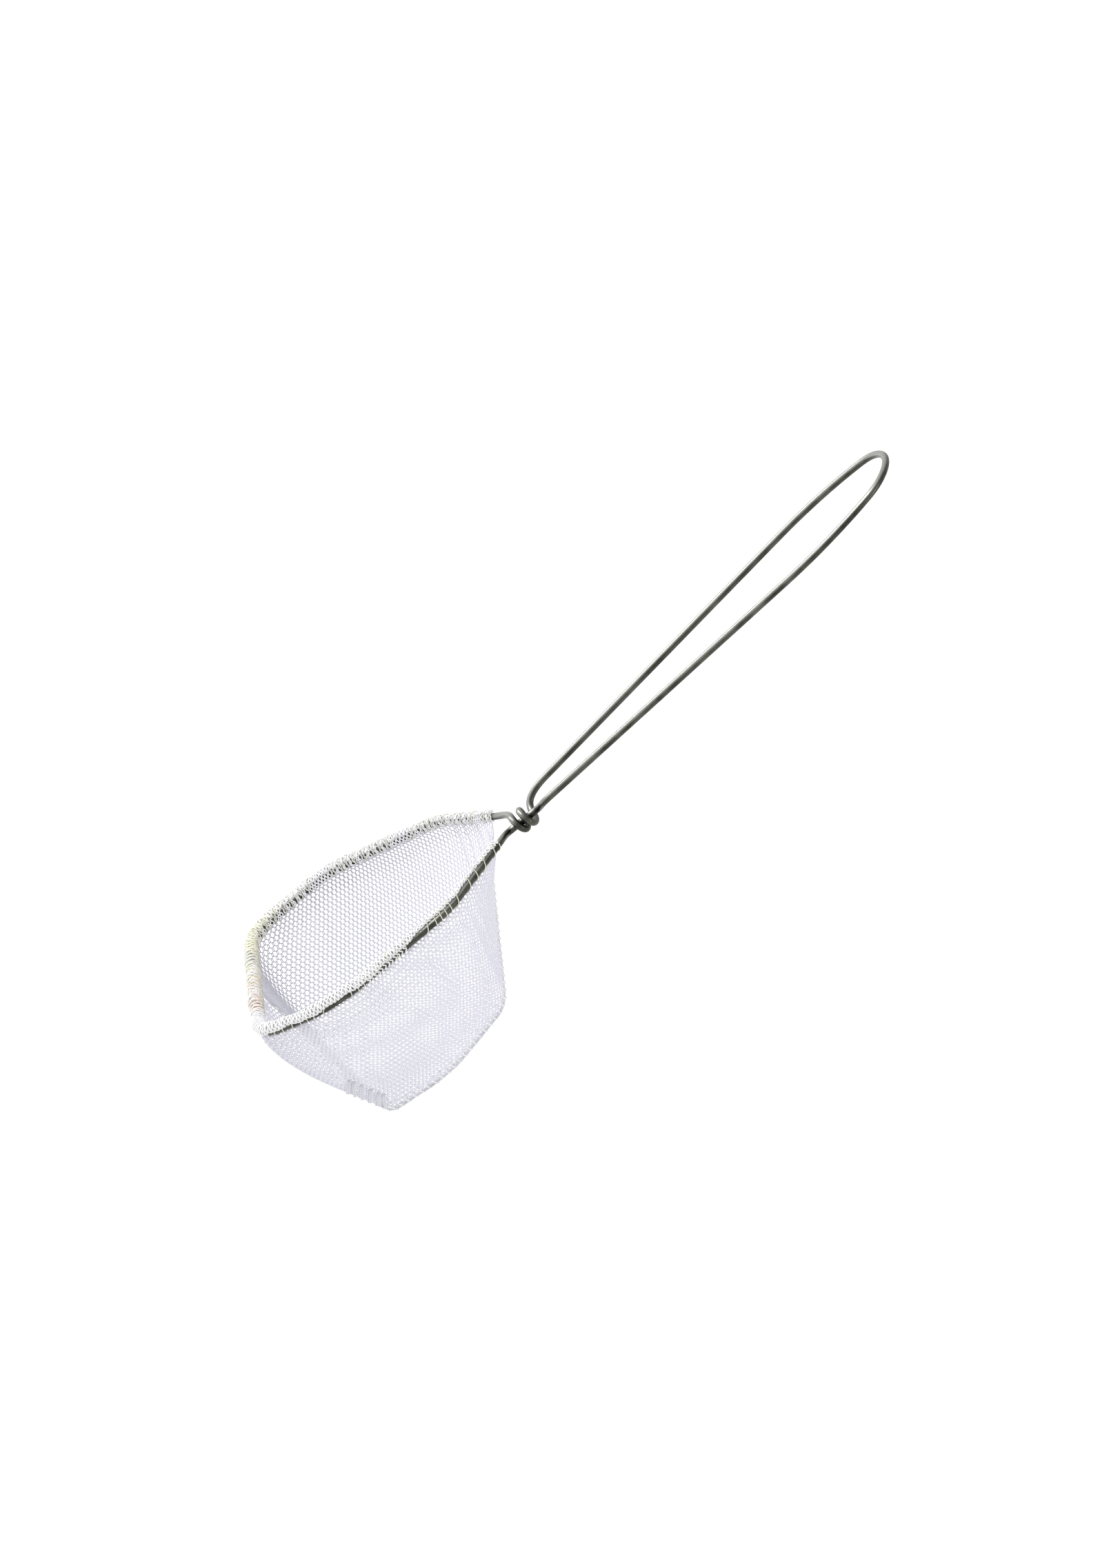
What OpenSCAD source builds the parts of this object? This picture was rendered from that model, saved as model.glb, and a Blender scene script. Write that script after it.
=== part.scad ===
// Small one-hand landing net: a bent wire handle loop and hoop, and a sewn bag of fine mesh.
// Lengths are in millimetres and angles in degrees. The net is drawn as it is held and used:
// +Z up, the handle rising toward +X, the holder's left side toward -Y, and the origin in the
// middle of the hand's grip on the handle. One wire makes the handle loop, the neck and the hoop.

/* [Wire] */
// Diameter of the frame wire
wire_d = 2.5; // [1.8:0.1:3.2]

/* [Handle] */
// Length of the handle loop, from the neck to the wire's centre at the tip
handle_len = 178; // [150:1:230]
// Width of the handle loop between the wire's centres
handle_w = 34; // [28:1:46]
// Radius of the loop's round end at the wire's centre
handle_end_r = 13.5; // [9:0.5:16]
// Radius of the long bend along each side of the loop
handle_side_r = 115; // [80:1:180]
// Distance between the two legs' centres where they reach the neck
leg_gap = 15.5; // [12:0.5:20]
// Distance from the neck to the lower ends of the straight legs
leg_start = 16; // [14:0.5:20]
// Angle of the handle above the level
handle_rise = 46.5; // [35:0.5:60]
// Distance from the neck to the middle of the grip
grip_at = 110; // [80:1:130]

/* [Hoop] */
// Length of the hoop, from the neck to the wire's centre at the far end
hoop_len = 105; // [95:1:130]
// Width of the hoop between the corners of its widest place
hoop_w = 93; // [80:1:110]
// Distance from the neck to the widest place
widest_at = 76; // [68:1:82]
// Width between the corners of the shoulders
shoulder_w = 64; // [50:1:70]
// Distance from the neck to the shoulders
shoulder_at = 28; // [24:0.5:34]
// Width between the hoop's sides where their lines reach the neck
neck_w = 6; // [2:0.5:8]
// Width between the corners of the far end
end_w = 70; // [60:1:78]
// Bend radius of the shoulders
shoulder_r = 24; // [12:1:40]
// Bend radius of the widest place
widest_r = 38; // [20:1:42]
// Bend radius of the far end's corners
end_r = 12; // [6:0.5:16]
// Angle of the hoop below the level, from the neck to the far end
hoop_dip = 35; // [20:0.5:45]

/* [Neck] */
// Turns that the right strand makes round the left one
wrap_turns = 1.5; // [1.5:1:2.5]
// Open space between neighbouring turns
turn_gap = 1.1; // [0.6:0.1:1.6]
// Slack between the turns and the strand inside them
wrap_slack = 0.6; // [0.5:0.1:1.2]
// Distance of the wrap's middle from the neck, up the handle
wrap_at = 3; // [2:0.5:5]
// Offset of the wrap's axis toward the left strand
wrap_side = 1.8; // [0:0.1:2.5]
// Offset of the wrap's axis below the neck's axis
wrap_low = 1.4; // [0.5:0.1:2]
// Distance from the neck to the start of the hoop's straight sides
side_start = 7; // [6:0.5:9]

/* [Rim hem] */
// Outside diameter of the hem that is folded round the hoop wire
hem_d = 4.8; // [4:0.1:6.5]
// Slack between the hem and the wire
hem_slack = 0.15; // [0.1:0.05:0.4]

/* [Bag] */
// Thickness of a net panel
panel_t = 0.8; // [0.6:0.1:1.2]
// Outward belly of each panel
panel_belly = 5.5; // [0:0.5:8]
// Openings across each panel, which stand for many more of the fine mesh
net_across = 12; // [6:1:12]
// Openings down each panel
net_down = 6; // [3:1:6]
// Width of the bars between openings, as a share of their pitch
net_bar = 0.4; // [0.3:0.05:0.6]
// Diameter of the overlocked seam
seam_d = 1.6; // [1.2:0.1:2.4]
// Distance from the neck to the seam's upper end, along the hoop
throat_at = 10; // [7:0.5:14]
// Drop of the seam's upper end below the hoop
throat_drop = 4; // [3:0.5:8]
// Distance of the bag's heel behind the neck
heel_back = 2.5; // [0:0.5:8]
// Depth of the bag's heel below the neck
heel_depth = 70; // [55:1:78]
// Distance of the bag's belly behind the neck
belly_back = 21; // [16:0.5:26]
// Depth of the bag's belly below the neck
belly_depth = 95; // [90:1:100]
// Distance of the bag's tip behind the neck
tip_back = 41.5; // [36:0.5:48]
// Depth of the bag's tip below the neck
tip_depth = 109.5; // [106:0.5:120]
// Bend radius of the heel
heel_r = 14; // [6:1:20]
// Bend radius of the belly
belly_r = 60; // [30:1:80]
// Bend radius of the tip
tip_r = 4; // [2:0.5:7]

/* [Hidden] */
// Clearance between sewn pieces, and between the strands inside the wrap
sewn_gap = 0.3;
// Slight collar that joins a bend to the run beside it: its swell over the wire and its length
collar_swell = 0.04;
collar_len = 0.6;
// Length by which a run stops short of the collar's middle
collar_trim = collar_len / 4;
// Sides of a strand at the neck, and points along its bends and its turns
strand_sides = 12;
bend_steps = 14;
turn_steps = 24;
// Points along each bend that a panel's edge follows
arc_steps = 12;
// Shares of a panel's columns that end at the heel and at the tip
heel_share = 0.24;
tip_share = 0.7;
// Steps along the edges of an opening
opening_steps = 2;
// Length of the seam's upper end that the panel's last column runs beside
seam_head = 8;
// Length to each side over which the direction of a path is taken
look_len = 0.5;
// Length by which the hem's hollow runs out past its ends
hollow_over = 1;
$fn = 48;

side = [0, 1, 0];
handle_dir = [cos(handle_rise), 0, sin(handle_rise)];
hoop_dir = [-cos(hoop_dip), 0, -sin(hoop_dip)];
neck = -grip_at * handle_dir;
neck_slope = (handle_rise + hoop_dip) / 2;
neck_dir = [cos(neck_slope), 0, sin(neck_slope)];
neck_up = [-sin(neck_slope), 0, cos(neck_slope)];

// Handle loop in its own plane: x from the neck to the tip, y across
end_centre = [handle_len - handle_end_r, 0];
bow_drop = handle_side_r - handle_w / 2;
bow_reach = sqrt(pow(handle_side_r - handle_end_r, 2) - pow(bow_drop, 2));
bow_centre = [end_centre.x - bow_reach, -bow_drop];
bow_end_angle = atan2(bow_drop, bow_reach);
end_half_turn = bow_end_angle - collar_trim / handle_end_r * 180 / PI;
leg_foot = [leg_start, leg_gap / 2];
foot_to_bow = bow_centre - leg_foot;
leg_len = sqrt(foot_to_bow * foot_to_bow - pow(handle_side_r, 2));
leg_angle = atan2(foot_to_bow.y, foot_to_bow.x) + asin(handle_side_r / norm(foot_to_bow));

// Half of the hoop in its own plane: x from the neck to the far end, y across
shoulder = [shoulder_at, shoulder_w / 2];
side_root = [0, neck_w / 2];
side_dir = unit(shoulder - side_root);
hoop_start = side_root + side_dir * side_start / side_dir.x;
half_corners = [hoop_start, shoulder, [widest_at, hoop_w / 2], [hoop_len, end_w / 2]];
half_radii = [0, shoulder_r, widest_r, end_r];
hoop_corners = concat(half_corners, mirrored(half_corners));
hoop_radii = concat(half_radii, reversed(half_radii));
// The same outline run out past the hem's ends
through_corners = concat([hoop_start - hollow_over * side_dir], tail(half_corners));
hoop_through = concat(through_corners, mirrored(through_corners));

// Bag seam in the middle plane: x and z from the neck
seam_clear = seam_d / 2 + sewn_gap;
hem_clear = hem_d / 2 + sewn_gap;
far_end = hoop_len * [hoop_dir.x, hoop_dir.z];
throat = throat_at * [hoop_dir.x, hoop_dir.z] - [0, throat_drop];
tip = [-tip_back, -tip_depth];
seam_top = far_end + hem_clear * (tip - far_end) / norm(tip - far_end);
seam_corners = [throat, [-heel_back, -heel_depth], [-belly_back, -belly_depth], tip, seam_top];
seam_radii = [0, heel_r, belly_r, tip_r, 0];

function unit(v) = v / norm(v);
function reversed(list) = [for (i = [len(list) - 1:-1:0]) list[i]];
function mirrored(p) = [for (q = reversed(p)) [q.x, -q.y]];
function heading(a, b) = atan2(b.y - a.y, b.x - a.x);
function within_turn(a) = a - 360 * round(a / 360);

// Bends of an outline: the turn at corner i, the length it cuts from its sides, and its ends
function turn_at(p, i) = within_turn(heading(p[i], p[i + 1]) - heading(p[i - 1], p[i]));
function is_bend(p, i) = i > 0 && i < len(p) - 1;
function cut_at(p, r, i) = is_bend(p, i) ? r[i] * tan(abs(turn_at(p, i)) / 2) : 0;
function bend_in(p, r, i) = p[i] + cut_at(p, r, i) * unit(p[i - 1] - p[i]);
function bend_out(p, r, i) = is_bend(p, i) ? p[i] + cut_at(p, r, i) * unit(p[i + 1] - p[i]) : p[i];
function bend_from(p, i) = heading(p[i - 1], p[i]) - sign(turn_at(p, i)) * 90;
function bend_centre(p, r, i) = bend_in(p, r, i) - r[i] * [cos(bend_from(p, i)), sin(bend_from(p, i))];
function bend_points(p, r, i) = [for (k = [0:arc_steps])
    let (a = bend_from(p, i) + turn_at(p, i) * k / arc_steps)
    bend_centre(p, r, i) + r[i] * [cos(a), sin(a)]];
function rounded(p, r) = [for (i = [0:len(p) - 1])
    each is_bend(p, i) ? bend_points(p, r, i) : [p[i]]];

// Lengths along a path, the point at a length, and the direction there
function lengths(p) = [for (i = 0, s = 0; i < len(p);
    i = i + 1, s = i < len(p) ? s + norm(p[i] - p[i - 1]) : s) s];
function point_at(p, s, x) = [for (k = [0:2]) lookup(x, [for (i = [0:len(p) - 1]) [s[i], p[i][k]]])];
function direction_at(p, s, x) = unit(point_at(p, s, x + look_len) - point_at(p, s, x - look_len));
function across(v, along) = unit(v - (v * along) * along);

// Points of the handle, the hoop, the wrap and the seam in the net's frame
function handle_point(q) = neck + q.x * handle_dir + q.y * side;
function hoop_point(q) = neck + q.x * hoop_dir + q.y * side;
function wrap_point(s, y, up) =
    neck + s * neck_dir + (y - wrap_side) * side + (up - wrap_low) * neck_up;
function seam_point(q) = neck + [q.x, 0, q.y];

function bezier(a, b, c, d) = [for (i = [0:bend_steps])
    let (t = i / bend_steps, k = 1 - t)
    k * k * k * a + 3 * k * k * t * b + 3 * k * t * t * c + t * t * t * d];
function tail(p) = [for (i = [1:len(p) - 1]) p[i]];

// A round run of diameter d along an outline in the XY plane, with true bends
module along(p, r, d) {
    for (i = [1:len(p) - 1]) {
        from = bend_out(p, r, i - 1);
        to = is_bend(p, i) ? bend_in(p, r, i) : p[i];
        start = is_bend(p, i - 1) ? collar_trim : 0;
        stop = is_bend(p, i) ? collar_trim : 0;
        translate(from) rotate(heading(from, to)) rotate([0, 90, 0]) translate([0, 0, start])
            cylinder(d = d, h = norm(to - from) - start - stop);
    }
    for (i = [1:len(p) - 2]) {
        translate(bend_centre(p, r, i)) rotate(bend_from(p, i) + min(0, turn_at(p, i)))
            rotate_extrude(angle = abs(turn_at(p, i))) translate([r[i], 0]) circle(d = d);
        collar(bend_in(p, r, i), heading(p[i - 1], p[i]), d);
        collar(bend_out(p, r, i), heading(p[i], p[i + 1]), d);
    }
}

module collar(at, angle, d) {
    translate(at) rotate(angle) rotate([0, 90, 0])
        cylinder(d = d + collar_swell, h = collar_len, center = true);
}

module both_sides() {
    children();
    mirror([0, 1, 0]) children();
}

module in_hoop_plane() {
    translate(neck) rotate([0, 180 - hoop_dip, 0]) children();
}

// A strand along a path of points in space, with its ends square to the given directions
module strand(path, first, last) {
    count = len(path);
    n = strand_sides;
    dirs = [for (i = [0:count - 1])
        i == 0 ? first : i == count - 1 ? last : unit(path[i + 1] - path[i - 1])];
    outs = [for (i = 0, v = across(neck_up, dirs[0]); i < count;
        i = i + 1, v = i < count ? across(v, dirs[i]) : v) v];
    points = [for (i = [0:count - 1]) for (k = [0:n - 1])
        path[i] + wire_d / 2 * (cos(360 * k / n) * outs[i] + sin(360 * k / n) * cross(dirs[i], outs[i]))];
    walls = [for (i = [0:count - 2]) for (k = [0:n - 1])
        let (a = i * n + k, b = i * n + (k + 1) % n)
        each [[a, a + n, b + n], [a, b + n, b]]];
    lid_in = [for (k = [1:n - 2]) [0, k, k + 1]];
    lid_out = [for (k = [1:n - 2]) (count - 1) * n * [1, 1, 1] + [0, k + 1, k]];
    polyhedron(points, concat(walls, lid_in, lid_out));
}

// Handle loop: two straight legs, a long bend on each side and a round end
module handle_loop() color("gainsboro") translate(neck) rotate([0, -handle_rise, 0]) {
    both_sides() {
        translate(leg_foot) rotate(leg_angle) rotate([0, 90, 0])
            cylinder(d = wire_d, h = leg_len - collar_trim);
        translate(bow_centre) rotate(bow_end_angle)
            rotate_extrude(angle = 90 + leg_angle - bow_end_angle)
            translate([handle_side_r, 0]) circle(d = wire_d);
        for (a = [90 + leg_angle, bow_end_angle])
            collar(bow_centre + handle_side_r * [cos(a), sin(a)], a + 90, wire_d);
    }
    translate(end_centre) rotate(-end_half_turn)
        rotate_extrude(angle = 2 * end_half_turn) translate([handle_end_r, 0]) circle(d = wire_d);
}

// Directions of the wire where the neck's strands meet the legs (y sign given) and the hoop
function leg_down(y) = -cos(leg_angle) * handle_dir - y * sin(leg_angle) * side;
function side_out(y) = side_dir.x * hoop_dir + y * side_dir.y * side;

wrap_r = wire_d + wrap_slack;
wrap_pitch = wire_d + turn_gap;
wrap_top = wrap_at + wrap_pitch * wrap_turns / 2;
wrap_end = wrap_at - wrap_pitch * wrap_turns / 2;
// Reach of a strand's bends, as handles of a smooth curve: the right leg runs on beside the wrap
bend_reach = 5;
leg_reach = 14;

// Left strand: from the left leg, straight through the wrap, to the hoop's left side
module neck_core() color("gainsboro") {
    sag = sewn_gap - wrap_slack;
    from = handle_point([leg_foot.x, -leg_foot.y]);
    top = wrap_point(wrap_top + wire_d / 2, 0, sag);
    bottom = wrap_point(wrap_end - wire_d / 2, 0, sag);
    to = hoop_point([hoop_start.x, -hoop_start.y]);
    upper = bezier(from, from + bend_reach * leg_down(-1), top + bend_reach * neck_dir, top);
    lower = bezier(bottom, bottom - bend_reach * neck_dir, to - bend_reach * side_out(-1), to);
    strand(concat(upper, lower), leg_down(-1), side_out(-1));
}

// Right strand: from the right leg under the left strand, up its outer side and round it, and off the
// top to the hoop's right side
function wrap_turn(a) =
    wrap_point(wrap_top - wrap_pitch * a / 360, -wrap_r * sin(a), -wrap_r * cos(a));
wrap_lead = wrap_pitch / (2 * PI * wrap_r);
wrap_first = unit(-side - wrap_lead * neck_dir);
wrap_last = unit(side - wrap_lead * neck_dir);
wrap_points = [for (i = [0:turn_steps * wrap_turns]) wrap_turn(360 * i / turn_steps)];
wrap_from = handle_point(leg_foot);
wrap_to = hoop_point(hoop_start);
wrap_path = concat(
    bezier(wrap_from, wrap_from + leg_reach * leg_down(1),
        wrap_points[0] - bend_reach * wrap_first, wrap_points[0]),
    tail(wrap_points),
    tail(bezier(wrap_points[len(wrap_points) - 1],
        wrap_points[len(wrap_points) - 1] + bend_reach * wrap_last,
        wrap_to - bend_reach * side_out(1), wrap_to)));
wrap_lengths = lengths(wrap_path);
// Least gap of the wrap to itself, between points more than half a turn apart along the wire
wrap_gap = min([for (i = [0:len(wrap_path) - 1]) for (k = [i:len(wrap_path) - 1])
    if (wrap_lengths[k] - wrap_lengths[i] > PI * wrap_r) norm(wrap_path[k] - wrap_path[i])]) - wire_d;
echo(wrap_gap = wrap_gap);

module neck_wrap() color("gainsboro") strand(wrap_path, leg_down(1), side_out(1));

// Hoop: straight sides, shoulders, a widest place and a flat far end with round corners
module hoop() color("gainsboro") in_hoop_plane() along(hoop_corners, hoop_radii, wire_d);

// Hem: the net's edge folded round the hoop wire
module rim_hem() color("white") in_hoop_plane() difference() {
    along(hoop_corners, hoop_radii, hem_d);
    along(hoop_through, hoop_radii, wire_d + 2 * hem_slack);
}

// Seam: an overlocked ridge from the throat, round the heel and the tip, to the far end
module bag_seam() color("whitesmoke") translate(neck) rotate([90, 0, 0])
    along(seam_corners, seam_radii, seam_d);

// Left panel: a net of bars from the hem to the seam, with the shoulder over the heel and the far
// corner over the tip, and an outward belly between
rim_path = [for (q = rounded(concat(half_corners, [[hoop_len, 0]]), concat(half_radii, [0])))
    hoop_point([q.x, -q.y])];
rim_lengths = lengths(rim_path);
seam_path = [for (q = rounded(seam_corners, seam_radii)) seam_point(q)];
seam_lengths = lengths(seam_path);
// Places along rim and seam that a panel's columns keep together
first_bend = 1 + arc_steps / 2;
last_bend = first_bend + 2 * (arc_steps + 1);
rim_end = rim_lengths[len(rim_lengths) - 1] - seam_clear;
seam_end = seam_lengths[len(seam_lengths) - 1] - seam_head;
rim_marks = [[0, sewn_gap], [heel_share, rim_lengths[first_bend]], [tip_share, rim_lengths[last_bend]],
    [1, rim_end]];
seam_marks = [[0, sewn_gap], [heel_share, seam_lengths[first_bend]], [tip_share, seam_lengths[last_bend]],
    [1, seam_end]];
bag_middle = hoop_point([hoop_len / 2, 0]);
// Shares across and down a panel at which its bars and openings start
columns = bar_starts(net_across);
rows = bar_starts(net_down);
last_column = len(columns) - 1;
last_row = len(rows) - 1;

function bar_starts(count) = [for (k = [0:count]) each k == count
    ? [count / (count + net_bar), 1]
    : [k / (count + net_bar), for (m = [0:opening_steps - 1])
        (k + net_bar + (1 - net_bar) * m / opening_steps) / (count + net_bar)]];
function in_bar(i) = i % (opening_steps + 1) == 0;
function is_net(i, j) = i >= 0 && j >= 0 && i < last_column && j < last_row && (in_bar(i) || in_bar(j));

function panel_column(share) =
    let (rim_at = lookup(share, rim_marks), seam_at = lookup(share, seam_marks))
    let (w = point_at(rim_path, rim_lengths, rim_at), q = point_at(seam_path, seam_lengths, seam_at))
    let (top = w + hem_clear * across(q - w, direction_at(rim_path, rim_lengths, rim_at)))
    let (foot = q + seam_clear * across(w - q, direction_at(seam_path, seam_lengths, seam_at)))
    let (outward = unit([top.x - bag_middle.x, top.y, 0]))
    [for (f = rows)
        top * (1 - f) + foot * f + sin(180 * share) * sin(180 * sqrt(f)) * panel_belly * outward];

module panel() {
    grid = [for (share = columns) panel_column(share)];
    normals = [for (i = [0:last_column]) [for (j = [0:last_row])
        unit(cross(grid[min(i + 1, last_column)][j] - grid[max(i - 1, 0)][j],
            grid[i][min(j + 1, last_row)] - grid[i][max(j - 1, 0)]))]];
    points = [for (s = [0.5, -0.5]) for (i = [0:last_column]) for (j = [0:last_row])
        grid[i][j] + s * panel_t * normals[i][j]];
    back = (last_column + 1) * (last_row + 1);
    faces = [for (i = [0:last_column - 1]) for (j = [0:last_row - 1]) if (is_net(i, j))
        let (a = i * (last_row + 1) + j, b = a + last_row + 1)
        each concat([[a, a + 1, b + 1], [a, b + 1, b],
            [back + a, back + b + 1, back + a + 1], [back + a, back + b, back + b + 1]],
            is_net(i, j - 1) ? [] : edge_wall(a, b, back),
            is_net(i, j + 1) ? [] : edge_wall(b + 1, a + 1, back),
            is_net(i - 1, j) ? [] : edge_wall(a + 1, a, back),
            is_net(i + 1, j) ? [] : edge_wall(b, b + 1, back))];
    polyhedron(points, faces);
}

function edge_wall(a, b, back) = [[a, b, back + b], [a, back + b, back + a]];

module left_panel() color("lavender") panel();

module right_panel() color("lavender") mirror([0, 1, 0]) panel();

handle_loop();
neck_core();
neck_wrap();
hoop();
rim_hem();
left_panel();
right_panel();
bag_seam();
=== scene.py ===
# Small one-hand landing net: a bent wire frame that carries a sewn bag of fine white net.
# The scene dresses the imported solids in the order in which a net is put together: the frame is
# bent from wire, the bag is cut and hung on it, the rim is hemmed and the halves are overlocked.
import math

import bpy
import numpy as np
from mathutils import Matrix, Vector
from mathutils.bvhtree import BVHTree
from mathutils.geometry import barycentric_transform


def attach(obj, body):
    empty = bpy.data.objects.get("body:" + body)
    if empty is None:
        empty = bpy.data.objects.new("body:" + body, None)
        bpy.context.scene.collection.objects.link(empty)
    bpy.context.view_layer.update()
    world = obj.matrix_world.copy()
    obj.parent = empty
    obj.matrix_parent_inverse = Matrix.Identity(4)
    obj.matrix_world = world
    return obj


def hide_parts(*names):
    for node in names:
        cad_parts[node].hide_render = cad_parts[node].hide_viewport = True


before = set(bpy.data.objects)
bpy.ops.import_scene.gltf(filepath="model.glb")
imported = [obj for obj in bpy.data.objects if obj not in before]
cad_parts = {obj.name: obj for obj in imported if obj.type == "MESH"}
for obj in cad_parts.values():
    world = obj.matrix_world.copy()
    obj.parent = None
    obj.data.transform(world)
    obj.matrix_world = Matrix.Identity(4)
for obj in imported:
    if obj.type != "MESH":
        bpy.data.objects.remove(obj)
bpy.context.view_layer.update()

# Camera: it looks at the net's left side from a little above and from far off, so that lines stay
# nearly parallel. The picture is 1624 by 2274, and the net's neck lies a little left of its middle.
view_turn = math.radians(3.61)
view_rise = math.radians(27.26)
view_away = 5.0
view_height = 0.5204
view_middle = Vector((-0.0600, 0.0044, -0.0694))
view_right = Vector((math.cos(view_turn), -math.sin(view_turn), 0))
view_back = Vector((
    -math.sin(view_turn) * math.cos(view_rise),
    -math.cos(view_turn) * math.cos(view_rise),
    math.sin(view_rise)))
view_up = view_back.cross(view_right)
bpy.ops.object.camera_add()
camera = bpy.context.object
camera.matrix_world = Matrix.Translation(view_middle + view_away * view_back) @ Matrix(
    (view_right, view_up, view_back)).transposed().to_4x4()
camera.data.sensor_fit = "VERTICAL"
camera.data.sensor_height = 36
camera.data.lens = camera.data.sensor_height * view_away / view_height
bpy.context.scene.camera = camera

# Studio: a plain pale floor far below the hanging net, even light from a pale sky, a soft lamp high
# on the left, one behind on the left for the wire's edge, and a weaker one low on the right.
floor_level = -0.9
floor_size = 60
floor_colour = (0.86, 0.86, 0.86, 1)
floor_white = 0.45
sky_light = 0.82
lamps = (
    ("key", (-1.85, -0.2, 1.95), 0.8, 21),
    ("edge", (-2.2, 1.1, 1.15), 0.9, 18),
    ("fill", (1.9, -1.6, 0.3), 1.2, 9))


def seen_directly(tree):
    """Socket that is 1 for what the eye sees, straight or by reflection or through glass."""
    path = tree.nodes.new("ShaderNodeLightPath")
    value = path.outputs["Is Camera Ray"]
    for name in ("Is Glossy Ray", "Is Transmission Ray"):
        either = tree.nodes.new("ShaderNodeMath")
        either.operation = "MAXIMUM"
        tree.links.new(value, either.inputs[0])
        tree.links.new(path.outputs[name], either.inputs[1])
        value = either.outputs[0]
    return value


def between(tree, share, low, high):
    """Socket that goes from low to high as share goes from 0 to 1."""
    node = tree.nodes.new("ShaderNodeMapRange")
    tree.links.new(share, node.inputs["Value"])
    node.inputs["To Min"].default_value = low
    node.inputs["To Max"].default_value = high
    return node.outputs["Result"]


bpy.ops.object.select_all(action="DESELECT")
bpy.ops.mesh.primitive_plane_add(size=floor_size, location=(0, 0, floor_level))
bpy.ops.object.transform_apply()
floor = bpy.context.object
floor.name = "studio_floor"
floor_paint = bpy.data.materials.new("floor_paint")
floor_paint.use_nodes = True
floor_shader = floor_paint.node_tree.nodes["Principled BSDF"]
floor_shader.inputs["Base Color"].default_value = floor_colour
floor_shader.inputs["Roughness"].default_value = 0.9
floor_shader.inputs["Emission Color"].default_value = (1, 1, 1, 1)
floor_paint.node_tree.links.new(
    between(floor_paint.node_tree, seen_directly(floor_paint.node_tree), 0, floor_white),
    floor_shader.inputs["Emission Strength"])
floor.data.materials.append(floor_paint)

sky = bpy.data.worlds.new("studio_sky")
bpy.context.scene.world = sky
sky.use_nodes = True
sky.node_tree.links.new(
    between(sky.node_tree, seen_directly(sky.node_tree), sky_light, 1),
    sky.node_tree.nodes["Background"].inputs["Strength"])
sky.node_tree.nodes["Background"].inputs["Color"].default_value = (1, 1, 1, 1)

for name, place, size, watts in lamps:
    bpy.ops.object.light_add(type="AREA", location=place)
    lamp = bpy.context.object
    lamp.name = name + "_lamp"
    lamp.data.shape = "DISK"
    lamp.data.size = size
    lamp.data.energy = watts
    lamp.rotation_euler = (view_middle - Vector(place)).to_track_quat("-Z", "Y").to_euler()
bpy.context.scene.view_settings.view_transform = "Standard"

# Frame wire: one length of drawn wire, 2.5 mm thick. It is bent into the long handle loop, its two
# strands are wound together at the neck, and the rest is bent into the hoop. Its ends butt in the hem.
MM = 0.001
wire_d = 2.5
handle_len, handle_w, handle_end_r, handle_side_r = 178, 34, 13.5, 115
leg_start, leg_gap, grip_at = 16, 15.5, 110
handle_rise, hoop_dip = math.radians(46.5), math.radians(35)
hoop_len, side_start, neck_w = 105, 7, 6
shoulder, widest, end_corner = (28, 32), (76, 46.5), (hoop_len, 35)
hoop_radii = (24, 38, 12)
wrap_turns, wrap_pitch, wrap_r = 1.5, 3.6, 3.1
wrap_at, wrap_side, wrap_low, core_sag = 3, 1.8, 1.4, -0.3
bend_reach, leg_reach = 5, 14
wire_butt = 0.2
wire_sides_res = 6
run_step, wire_step = 0.8, 0.7


def unit(v):
    return np.asarray(v, float) / np.linalg.norm(v)


def lengths(points):
    """Distance along a run of points, at each of them."""
    steps = np.linalg.norm(np.diff(points, axis=0), axis=1)
    return np.concatenate([[0], np.cumsum(steps)])


def at_length(points, places):
    """Points of a run at the given distances along it."""
    along = lengths(points)
    return np.stack([np.interp(places, along, points[:, k]) for k in range(points.shape[1])], axis=-1)


def evenly(points, step):
    """The same run with its points about a step apart."""
    points = np.array(points, float)
    total = lengths(points)[-1]
    return at_length(points, np.linspace(0, total, max(2, round(total / step) + 1)))


def turned(v, angle):
    c, s = math.cos(angle), math.sin(angle)
    return np.array([c * v[0] - s * v[1], s * v[0] + c * v[1]])


def bent(corners, radii, step=run_step):
    """A flat run through corners, with each inner corner bent to its radius."""
    corners = [np.array(c, float) for c in corners]
    run = [corners[0]]
    for before, corner, after, radius in zip(corners, corners[1:], corners[2:], radii):
        a, b = unit(before - corner), unit(after - corner)
        half = math.acos(np.clip(a @ b, -1, 1)) / 2
        centre = corner + unit(a + b) * radius / math.sin(half)
        start = corner + a * radius / math.tan(half) - centre
        sweep = math.copysign(math.pi - 2 * half, a[1] * b[0] - a[0] * b[1])
        count = max(3, math.ceil(radius * abs(sweep) / step))
        run += [centre + turned(start, sweep * k / count) for k in range(count + 1)]
    run.append(corners[-1])
    return evenly(run, step)


def arc(centre, radius, first, last, step=run_step):
    count = math.ceil(radius * abs(last - first) / step)
    return [np.array(centre) + radius * np.array([math.cos(a), math.sin(a)])
            for a in np.linspace(first, last, count + 1)]


def bezier(a, b, c, d, count=24):
    t = np.linspace(0, 1, count + 1)[:, None]
    k = 1 - t
    return k**3 * a + 3 * k * k * t * b + 3 * k * t * t * c + t**3 * d


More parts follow.
